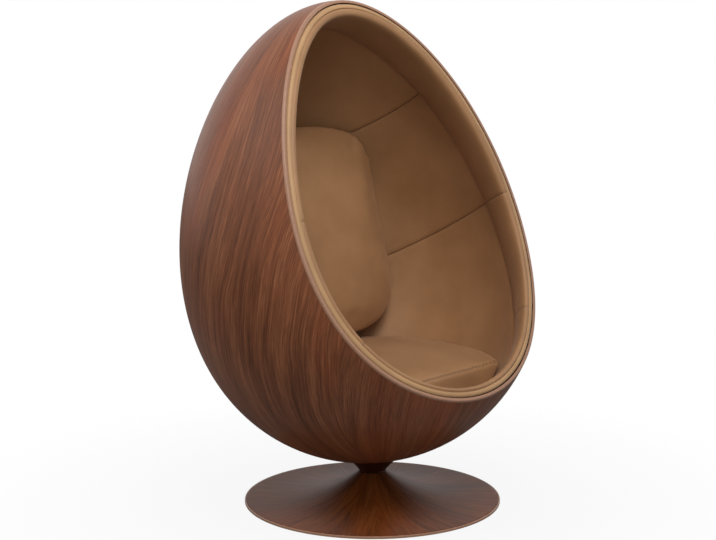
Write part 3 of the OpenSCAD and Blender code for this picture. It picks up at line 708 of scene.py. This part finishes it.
def shell_veneer():
    """The outer skin from behind the lipping to its rear point, and the same sheet 2 mm inside.

    Each point is the angle t round the opening and a turn that runs from the edge to the rear; a
    row just behind the edge keeps its shading crisp, and a fan closes each sheet at the rear.
    """
    t = around(288)
    w = np.linspace(0, 1, 90)[:-1]
    w = np.insert(w, 1, 0.04 * w[1])
    sheets, tips = [], []
    for o in (0.0, VENEER_T):
        start = rim_turn(t, LIPPING_H, o)
        turn = start + (math.pi - start) * w[:, None]
        sheets.append(inset(t[None, :], turn, o))
        tips.append(inset(np.array(0.0), np.array(math.pi), o))
    points, faces = slab(*sheets, close_cols=True)
    rows, cols = sheets[0].shape[:2]
    hubs = len(points)
    last_row = (rows - 1) * cols + np.arange(cols)
    ends = [fan(last_row[::-1], hubs)[:, ::-1], fan((last_row + rows * cols)[::-1], hubs + 1)]
    make("veneer_skin", np.concatenate([points, tips]), faces[:3] + ends, "pod",
         shell_wood, ["shell_veneer"])


def rounded(o_out, o_in, d_front, d_rear, r, n=5):
    """Depths and offsets round a bar's section: front corners of radius r, rear ones cut small."""
    a = np.linspace(0, np.pi / 2, n)
    front_out = np.stack([d_front + r - r * np.sin(a), o_out + r - r * np.cos(a)], -1)
    front_in = np.stack([d_front + r - r * np.cos(a), o_in - r + r * np.sin(a)], -1)
    e = BAR_REAR_ROUND
    rear = np.array([[d_rear - e, o_in], [d_rear, o_in - e], [d_rear, o_out + e], [d_rear - e, o_out]])
    return np.concatenate([front_out, front_in, rear])


def rim_hoop(name, section, material, node_name):
    """A bar's section carried round the opening."""
    points = rim_point(around(360)[:, None], section[None, :, 0], section[None, :, 1])
    make(name, points, hoop(points), "pod", material, [node_name])


shell_veneer()
rim_hoop("lipping_hoop", rounded(0.0, WALL_O, 0.0, LIPPING_H, LIPPING_ROUND), edge_wood_with_painted_highlight,
         "rim_lipping")
rim_hoop("leather_band", rounded(BAND_O, ROLL_O, -BAND_CROWN, BAND_T, BAND_ROUND, 8),
         tan_band_painted_highlight, "rim_band")


# The padded roll

def roll_rear(t):
    """Depth of the roll's rear edge at angle t, and how high the roll stands there."""
    front = rise(rim_point(t, 0.0, 0.0))
    s = rise(rim_point(t, roll_depth(front), 0.0))
    return roll_depth(s) - FACE_GAP, up_rim(front, ROLL_LOW_T, ROLL_TOP_T)


def roll_piece(name, t0, t1, node_name):
    """One sewn length of the rim roll, from t0 to t1 degrees round the opening.

    Its section is a full half round: depth goes as the cosine of an angle a and the height over
    the wall as its sine to the power 0.75 in front and 1.2 behind. At each end it draws in to its
    seam, by a bell curve of the distance, and shallow puckers of sines of t and a cross it. The
    shading normals are those of a tube with its caps turned inwards: at an end they lean into the
    roll, and so its seam stays faint.
    """
    length = math.radians(t1 - t0) * OPENING_R
    share = ends_clustered(max(24, int(length / ROLL_STEP)), ROLL_CROWD)
    t = np.radians(t0 + (t1 - t0) * share)[:, None]
    from_end = np.minimum(share, 1 - share)[:, None] * length
    depth, high = roll_rear(t)
    mid, half = (depth - ROLL_CROWN) / 2, (depth + ROLL_CROWN) / 2
    a = np.linspace(0, np.pi, 41)[None, :]
    pull = ROLL_PULL * np.exp(-(from_end / PULL_WIDTH) ** 2)
    slack = ROLL_SLACK * np.sin(9 * t + 1.3) * np.sin(2 * a) + ROLL_PUCKER * np.sin(23 * t + 2 * a)
    slack = slack * np.exp(-SLACK_START / (from_end + SLACK_START))
    full = np.sin(a) ** np.where(a < np.pi / 2, ROLL_FULL, FLANK_FULL) * (1 - pull + slack)
    d = np.minimum(mid - half * np.cos(a) * (1 - PULL_IN_DEPTH * pull), depth - ROLL_FLANK)
    o = ROLL_O + FACE_GAP + high * full
    back = np.linspace(1, 0, 7)[None, 1:-1]
    d = np.concatenate([d, d[:, :1] + (d[:, -1:] - d[:, :1]) * back], 1)
    o = np.concatenate([o, np.full((len(t), back.shape[1]), ROLL_O + FACE_GAP)], 1)
    rings = rim_point(t, d, o)
    seam = np.concatenate([np.repeat(from_end, rings.shape[1]), [0.0, 0.0]]) + ON_SEAM
    points, faces = close_rings(rings)
    sides, *caps = faces
    obj = make(name, points, [sides] + [cap[:, ::-1] for cap in caps], "pod", tan,
               [node_name], seam)
    leaning = read_normals(obj.data)
    for cap in obj.data.polygons[len(sides):]:
        cap.flip()
    obj.data.update()
    obj.data.normals_split_custom_set_from_vertices(leaning)


roll_piece("roll_hood", SEAM_HIGH_A, 180 - SEAM_HIGH_A, "rim_roll_hood")
roll_piece("roll_right", SEAM_LOW_A, SEAM_HIGH_A, "rim_roll_right")
roll_piece("roll_left", 180 - SEAM_HIGH_A, 180 - SEAM_LOW_A, "rim_roll_left")
roll_piece("roll_front", -180 - SEAM_LOW_A, SEAM_LOW_A, "rim_roll_front")


# The lining

def level_middle(z0, k):
    """Y of the middle of the egg where the plane z = z0 - k y cuts its middle plane."""
    step, front, rear, far = 0.001, -0.1, 0.45, 0.8

    def at(y):
        return inside_by(np.stack([0 * y, y, z0 - k * y], -1))
    inner = bisect(lambda y: at(y + step) < at(y), 0 * z0 + front, 0 * z0 + rear, 20)
    ends = [bisect(lambda y: at(y) < INSIDE_O, inner, inner + way) for way in (-far, far)]
    return (ends[0] + ends[1]) / 2


def level(across, z0, k, o):
    """Point o inside the skin on the plane z = z0 - k y, at the angle across round its middle."""
    middle = level_middle(np.asarray(z0, float), np.asarray(k, float))
    across, z0, k, o, middle = np.broadcast_arrays(across, z0, k, o, middle)

    def at(m):
        y = middle + m * np.sin(across)
        return np.stack([m * np.cos(across), y, z0 - k * y], -1)
    return at(bisect(lambda m: inside_by(at(m)) < o, 0 * z0, 0 * z0 + LEVEL_FAR))


def liner_start(z0, k):
    """The angle at which a level of the lining meets the rear edge of the roll."""
    def behind(m):
        p = level(m, z0, k, INSIDE_O)
        return lag(p) > roll_depth(rise(p)) + LINER_GAP - ROLL_FLANK
    return bisect(behind, 0 * z0 - np.pi / 2, 0 * z0 + np.pi / 2, 24)


def run_along(points, axis):
    """How far each point of a grid lies along its row or column, summed from step to step."""
    steps = np.linalg.norm(np.diff(points, axis=axis), axis=-1)
    return np.concatenate([0 * steps.take([0], axis), np.cumsum(steps, axis)], axis)


def panel(name, z0, k, sewn_low, sewn_high, node_name, mirrored=False, whole=False):
    """A stretch of lining between two levels, from the roll to the middle of the back.

    z0 and k give each row's plane. The leather dips by a bell curve of the distance to its seams
    and to the crease behind the roll, and away from them it fills out exponentially. Its rear
    face lies 5 mm under the foam's, so that no gap shows. A whole panel runs from side to side.
    """
    start = liner_start(z0, k)[:, None]
    stop = np.pi - start if whole else np.pi / 2
    angle = start + (stop - start) * ends_clustered(110, PANEL_CROWD)[None, :]
    base = level(angle, z0[:, None], k[:, None], INSIDE_O)
    run, climb = run_along(base, 1), run_along(base, 0)
    side = run[:, -1:] - run
    low = climb if sewn_low else climb + FAR_FROM_SEAM
    high = climb[-1:] - climb if sewn_high else climb + FAR_FROM_SEAM
    seam = np.minimum(np.minimum(low, high), FAR_FROM_SEAM if whole else side)
    crease = np.minimum(run, side) if whole else run
    fill = PANEL_FILL * (1 - np.exp(-np.minimum(seam, crease) / FILL_WIDTH))
    dip = PANEL_DIP * np.exp(-(np.minimum(seam, crease) / DIP_WIDTH) ** 2)
    out = normal(base)
    if mirrored:
        base, out = base * [-1, 1, 1], out * [-1, 1, 1]
    front = base - (fill - dip)[..., None] * out
    rear = base + (INSIDE_O - FOAM_O + PANEL_SINK) * out
    points, faces = slab(front, rear)
    make(name, points, faces, "pod", tan, [node_name], np.concatenate([seam, seam]) + ON_SEAM)


def lining():
    """Five panels: a lower and an upper one on each side, and the hood.

    Their levels are flat at the deck and reach the seams' slope at the lower seam. The hood's
    close up, by the sine of the way, to the height at which the roll leaves them no width.
    """
    all_roll, search, short_of = 1.5, 0.4, 0.0006
    part = ends_clustered(56, PANEL_CROWD)
    steep = SEAM_SLOPE + 0 * part
    z_low = DECK_TOP + (SEAM_LOW_Z - DECK_TOP) * part
    z_mid = SEAM_LOW_Z + (SEAM_HIGH_Z - SEAM_LOW_Z) * part
    for side, mirrored in (("right", False), ("left", True)):
        panel("liner_lower_skin_" + side, z_low, steep * part, False, True, "liner_lower_" + side, mirrored)
        panel("liner_upper_skin_" + side, z_mid, steep, True, True, "liner_upper_" + side, mirrored)
    top = float(bisect(lambda z: liner_start(z, SEAM_SLOPE + 0 * z) > all_roll, SEAM_HIGH_Z,
                       SEAM_HIGH_Z + search))
    z_top = SEAM_HIGH_Z + (top - short_of - SEAM_HIGH_Z) * np.sin(part * np.pi / 2)
    panel("liner_hood_skin", z_top, steep, True, False, "liner_hood", whole=True)


lining()


# The cushions

def power(v, e):
    """The size of v to the power e, with the sign of v."""
    return np.sign(v) * np.abs(v) ** e


def room_along(p, d):
    """How far from p along d a cushion may go before it comes too near the lining."""
    limit = INSIDE_O + CUSHION_GAP
    return bisect(lambda m: inside_by(p + m[..., None] * d) < limit, 0 * p[..., 0], 0 * p[..., 0] + SHELL_R)


def seat_plan(t, z):
    """Plan radius: a rounded rectangle, |x/a|^9 + |y/b|^9 = 1, held off the lining."""
    free = (np.abs(np.cos(t) / SEAT_HALF_W) ** SEAT_CORNER
            + np.abs(np.sin(t) / SEAT_HALF_L) ** SEAT_CORNER) ** (-1 / SEAT_CORNER)
    p = np.stack([0 * t, 0 * t + SEAT_MID_Y, z + 0 * t], -1)
    d = np.stack([np.cos(t), np.sin(t), 0 * t], -1)
    return np.minimum(free, room_along(p, d))


def seat_top(share):
    """Height of the seat's crown: it falls off with the cube of the share of the way out."""
    return SEAT_Z + SEAT_CROWN * (1 - share ** 3)


def seat_form(inset_by):
    """Rings from the middle of the top, over the seam and down the boxing to the bottom.

    Each ring is a share of the plan radius at its own height. The boxing bulges by the sine of
    its share of the height.
    """
    t = around(160)
    top = np.array([0.06, 0.2, 0.4, 0.6, 0.78, 0.9, 0.97])
    side = np.array([0.92, 0.8, 0.65, 0.5, 0.35, 0.2, 0.1])
    foot = np.array([0.96, 0.88, 0.6, 0.25, 0.06])
    share = np.concatenate([top, [1.0], np.ones(len(side)), foot])
    z = np.concatenate([seat_top(top) - inset_by, [SEAT_Z - inset_by], SEAT_LOW + (SEAT_Z - SEAT_LOW) * side,
                        [SEAT_LOW + SEAT_EDGE_LIFT] + [SEAT_LOW + SEAT_FOOT_LIFT] * (len(foot) - 1)])
    draw = np.concatenate([np.full(len(top) + 1, inset_by), inset_by + SEAT_DRAW * np.sin(np.pi * side),
                           np.full(len(foot), inset_by)])
    z_plan = np.clip(z, SEAT_LOW + SEAT_EDGE_LIFT, SEAT_Z)
    r = seat_plan(t[None, :] + 0 * z[:, None], z_plan[:, None]) * share[:, None] - draw[:, None]
    return np.stack([r * np.cos(t), SEAT_MID_Y + r * np.sin(t), z[:, None] + 0 * r], -1), len(top)


BACK_REST = (BACK_Y + BACK_EDGE - SEAT_MID_Y) / SEAT_HALF_L
BACK_UP = np.array([0, math.sin(BACK_LEAN), math.cos(BACK_LEAN)])
BACK_IN = np.array([0, math.cos(BACK_LEAN), -math.sin(BACK_LEAN)])
BACK_H = SHELL_LEN * BACK_H_SHARE
BACK_FOOT = np.array([0, BACK_Y, seat_top(BACK_REST) + BACK_LIFT + BACK_EDGE * math.sin(BACK_LEAN)])


def back_at(x, h, d):
    """Point of the back cushion's own leaning frame, its face wrapped forward by 30 mm (x / w)^2."""
    d = d - BACK_WRAP * (x / BACK_W) ** 2
    return BACK_FOOT + h[..., None] * BACK_UP + d[..., None] * BACK_IN + x[..., None] * np.array([1.0, 0, 0])


def back_form(inset_by):
    """Rings over the face to the seam and back over the rear, which follows the lining.

    The outline is a superellipse of power 4.2, narrowed towards its top. It is cut back where the
    lining leaves less than the thin edge even after a bend of 80 mm, and a smooth bend forward
    makes up for the lack elsewhere. Face and rear swell from the seam by sqrt(1 - share^6).
    """
    t = around(176)
    out = np.array([0.05, 0.2, 0.4, 0.6, 0.76, 0.88, 0.95, 0.985])
    y = power(np.sin(t), 2 / BACK_CORNER)

    def at(share):
        x = (BACK_W - inset_by) * power(np.cos(t), 2 / BACK_CORNER) * (1 - BACK_TAPER * y) * share
        h = BACK_H / 2 + (BACK_H / 2 - inset_by) * y * share
        bent = back_at(x, h, 0 * x - BACK_BEND)
        return x, h, np.minimum(BACK_T, room_along(bent, BACK_IN + 0 * x[:, None]) - BACK_BEND)
    edge = bisect(lambda q: at(q)[2] < BACK_THIN - BACK_BEND, 0 * t + 0.5, 0 * t + 1, 16)
    rings = []
    for share, side in [(q, 1) for q in out] + [(1.0, 0)] + [(q, -1) for q in out[::-1]]:
        x, h, room = at(share * edge)
        lack = BACK_THIN - room
        bend = (lack + np.hypot(lack, BACK_SOFT)) / 2
        seam = np.minimum(BACK_EDGE, (room + bend) * BACK_SEAM_SHARE) - bend
        swell = math.sqrt(1 - share ** BACK_ROUND)
        if side > 0:
            d = seam * (1 - swell) + (inset_by - bend) * swell - BACK_CROWN * (1 - share ** 2)
        elif side < 0:
            d = seam + (room - inset_by - seam) * swell
        else:
            d = seam
        rings.append(back_at(x, h, d))
    return np.array(rings), len(out)


def distance_to(points, rings, row):
    """Distance of each point to the closed seam line rings[row], in blocks.

    Near the line it is measured across the seam only, along the difference of the ways to the
    rings before and behind it, so that it falls to zero on the rounded edge.
    """
    a, b = rings[row], np.roll(rings[row], -1, 0)
    ab = b - a
    ways = [rings[k] - a for k in (row - 1, row + 1)]
    ways = [v / np.linalg.norm(v, axis=1, keepdims=True) for v in ways]
    over = (ways[0] - ways[1]) / np.linalg.norm(ways[0] - ways[1], axis=1, keepdims=True)
    found = []
    for block in np.array_split(points, max(1, len(points) // POINTS_AT_ONCE)):
        ap = block[:, None] - a[None]
        s = np.clip((ap * ab).sum(-1) / (ab * ab).sum(-1), 0, 1)
        gap = np.linalg.norm(ap - s[..., None] * ab, axis=-1)
        near = gap.argmin(1)
        gap = gap.min(1)
        across = np.abs(((block - a[near]) * over[near]).sum(1))
        found.append(np.where(gap < SEAM_NEAR, across, gap))
    return np.concatenate(found)


def read_points(mesh):
    flat = np.empty(len(mesh.vertices) * 3, np.float32)
    mesh.vertices.foreach_get("co", flat)
    return flat.reshape(-1, 3).astype(float)


def write_points(mesh, points):
    mesh.vertices.foreach_set("co", np.ascontiguousarray(points, np.float32).ravel())
    mesh.update()


def modified(obj):
    """Puts what an object's modifiers make into its mesh and takes them off."""
    graph = bpy.context.evaluated_depsgraph_get()
    mesh = bpy.data.meshes.new_from_object(obj.evaluated_get(graph))
    obj.modifiers.clear()
    old, obj.data = obj.data, mesh
    bpy.data.meshes.remove(old)
    mesh.name = obj.name


def relax(obj, times):
    """Evens the mesh out: each point goes half way to its neighbours' middle, so many times."""
    even = obj.modifiers.new("relax", "SMOOTH")
    even.factor, even.iterations = 0.5, times
    modified(obj)


def fill_with_air(obj):
    """Blows the cover up with the cloth solver, and keeps each point near where it was."""
    start = read_points(obj.data)
    cloth = obj.modifiers.new("fill", "CLOTH")
    s = cloth.settings
    s.quality, s.mass = 6, 0.35
    s.tension_stiffness = s.compression_stiffness = 22
    s.shear_stiffness, s.bending_stiffness = 10, 1.2
    s.use_pressure, s.uniform_pressure_force = True, AIR_PRESSURE
    s.effector_weights.gravity = 0
    cloth.collision_settings.use_collision = False
    cloth.point_cache.frame_start, cloth.point_cache.frame_end = 1, AIR_FRAMES
    for f in range(1, AIR_FRAMES + 1):
        bpy.context.scene.frame_set(f)
    graph = bpy.context.evaluated_depsgraph_get()
    moved = read_points(obj.evaluated_get(graph).data) - start
    obj.modifiers.clear()
    bpy.context.scene.frame_set(1)
    size = np.linalg.norm(moved, axis=1, keepdims=True)
    write_points(obj.data, start + moved * np.minimum(1, AIR_CAP / np.maximum(size, 1e-9)))


def sink_seam(mesh):
    """Draws the cover in along its normals by a bell curve of the distance to its seam."""
    points = read_points(mesh)
    seam = np.empty(len(points), np.float32)
    mesh.attributes["seam"].data.foreach_get("value", seam)
    sink = COVER_DIP * np.exp(-(seam / COVER_DIP_WIDTH) ** 2)
    write_points(mesh, points - sink[:, None] * read_normals(mesh))


def cushion(name, form, hold, node_names):
    """A stuffed cushion: remeshed, blown up, held within its place, smoothed, then seamed."""
    rings, seam_row = form
    points, faces = close_rings(rings)
    obj = make(name, points, faces, "pod", tan, node_names)
    remesh = obj.modifiers.new("even", "REMESH")
    remesh.mode, remesh.voxel_size = "VOXEL", COVER_MESH
    relax(obj, times=6)
    seam = distance_to(read_points(obj.data), rings, seam_row)
    fill_with_air(obj)
    write_points(obj.data, hold(read_points(obj.data)))
    relax(obj, times=5)
    write_points(obj.data, hold(read_points(obj.data)))
    put_values(obj.data, "seam", np.clip(STITCH_SHARE * seam - STITCH_WIDTH, ON_SEAM, None))
    finer = obj.modifiers.new("finer", "SUBSURF")
    finer.levels = finer.render_levels = 1
    modified(obj)
    sink_seam(obj.data)
    obj.data.polygons.foreach_set("use_smooth", np.ones(len(obj.data.polygons), bool))
    obj.data.materials.clear()
    obj.data.materials.append(tan)


def hold_off_lining(p):
    """Moves points that stand too near the lining back along the skin's normal."""
    return p - np.clip(INSIDE_O + HOLD_GAP - inside_by(p), 0, None)[:, None] * normal(p)


def seat_top_at(p):
    """Height of the seat's crown over or under each point."""
    return seat_top(np.clip(np.hypot(p[:, 0] / SEAT_HALF_W, (p[:, 1] - SEAT_MID_Y) / SEAT_HALF_L), 0, 1))


def hold_seat(p):
    """Keeps the seat off the lining, on its deck and under its crown."""
    p = hold_off_lining(p)
    p[:, 2] = np.minimum(np.clip(p[:, 2], SEAT_LOW + HOLD_LOW, None), seat_top_at(p) + HOLD_OVER)
    return p


def hold_back(p):
    """Keeps the back cushion off the lining and over the seat's crown."""
    p = hold_off_lining(p)
    p[:, 2] = np.maximum(p[:, 2], seat_top_at(p) + BACK_LIFT)
    return p


cushion("seat_pad", seat_form(inset_by=0.002), hold_seat, ["seat_cushion", "seat_core"])
cushion("back_pad", back_form(inset_by=0.001), hold_back, ["back_cushion", "back_core"])


# The base

def turned(name, profile, material, node_name):
    """A closed profile of radii and heights turned about the swivel axis."""
    a = around(240)[:, None]
    r, z = profile[None, :, 0], profile[None, :, 1]
    points = np.stack(np.broadcast_arrays(r * np.cos(a), r * np.sin(a), z), -1)
    make(name, points, hoop(points), "base", material, [node_name])


def flare_z(r):
    """Height of the trumpet: it rises with the cube of the way in from the rim."""
    return BASE_EDGE_Z + (WAIST_Z - BASE_EDGE_Z) * ((BASE_R - r) / (BASE_R - WAIST_R)) ** FLARE


def base_pieces():
    """The trumpet with its stepped bore, and the wood edge with two rounded corners round it."""
    rim = BASE_R - BASE_EDGE_T
    r = rim + (WAIST_R - rim) * np.linspace(0, 1, 70)
    top = np.stack([r, flare_z(r)], -1)
    under = np.array([[WAIST_IN_R, WAIST_Z], [BORE_R, WAIST_Z - BORE_CHAMFER], [BORE_R, FLANGE_TOP_Z],
                      [FLANGE_BORE_R, FLANGE_TOP_Z], [FLANGE_BORE_R, TRUMPET_Z], [rim, TRUMPET_Z]])
    turned("trumpet_skin", np.concatenate([top, under]), base_wood, "base_trumpet")
    a = np.linspace(0, np.pi / 2, 6)
    q = BASE_EDGE_ROUND
    edge = np.concatenate([
        [[rim, PLATE_Z]],
        np.stack([BASE_R - q + q * np.sin(a), PLATE_Z + q - q * np.cos(a)], -1),
        np.stack([BASE_R - q + q * np.cos(a), BASE_EDGE_Z - q + q * np.sin(a)], -1),
        [[rim, BASE_EDGE_Z]]])
    turned("base_hoop", edge, edge_wood_with_painted_highlight, "base_edge_band")


def neck_piece():
    """The neck: its radius grows with height to the power 1.15, up to the shell's skin.

    Each angle's wall ends where it meets the skin, and two rings inside close it as a tube.
    """
    a = around(120)
    tall, search, sink = SHELL_LOW_Z - NECK_Z, 0.06, 0.0002

    def wall(z):
        r = WAIST_R + (NECK_R - WAIST_R) * (np.maximum(z - NECK_Z, 0) / tall) ** NECK_BOW
        return np.stack([r * np.cos(a), r * np.sin(a), z], -1)
    top = bisect(lambda z: inside_by(wall(z)) > -sink, 0 * a + NECK_Z, 0 * a + NECK_Z + search)
    rings = [wall(NECK_Z + (top - NECK_Z) * w) for w in np.linspace(0, 1, 24)]
    inner = [ring * [q, q, 1] for q, ring in ((NECK_BORE_TOP, rings[-1]), (NECK_BORE_LOW, rings[0]))]
    inner[0][:, 2] -= NECK_BORE_DROP
    points = np.array(rings + inner).transpose(1, 0, 2)
    make("neck_skin", points, hoop(points), "pod", neck_wood_painted_shade, ["neck_cone"])


base_pieces()
neck_piece()
